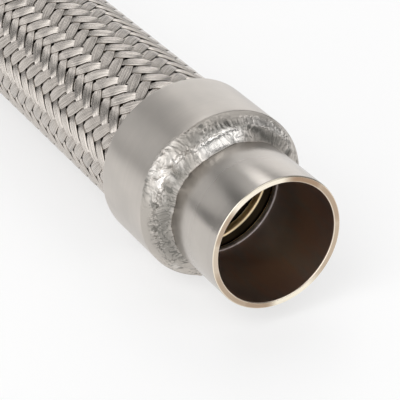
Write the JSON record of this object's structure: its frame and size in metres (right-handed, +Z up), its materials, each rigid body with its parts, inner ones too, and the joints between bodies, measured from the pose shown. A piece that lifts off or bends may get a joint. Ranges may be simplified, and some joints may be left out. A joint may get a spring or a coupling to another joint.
{
  "type": "braided flexible tube",
  "caption": "Flexible metal tube: a corrugated core in a woven wire sleeve, with a collar, a weld bead and a plain stub tube at each end.",
  "frame": {"origin": "on the floor, under the middle of the hose as it lies on its two collars", "axes": "+X along the hose towards the right stub tube, +Z up"},
  "size_m": [0.25, 0.0546, 0.0546],
  "materials": {
    "tube_steel": "satin, turned",
    "collar_steel": "satin, long soft streaks",
    "weld_metal": "lumpy, bright and mottled",
    "core_steel": "heat-tinted, satin",
    "braid_wire": "drawn wire, satin"
  },
  "bodies": {
    "root": {"tube_end_right": "tube_steel", "tube_end_left": "tube_steel", "collar_right": "collar_steel", "collar_left": "collar_steel", "weld_right": "weld_metal", "weld_left": "weld_metal", "core_seam_right": "core_steel", "core_seam_left": "core_steel", "core_bellows": "core_steel", "braid_sleeve": "braid_wire"}
  },
  "joints": []
}
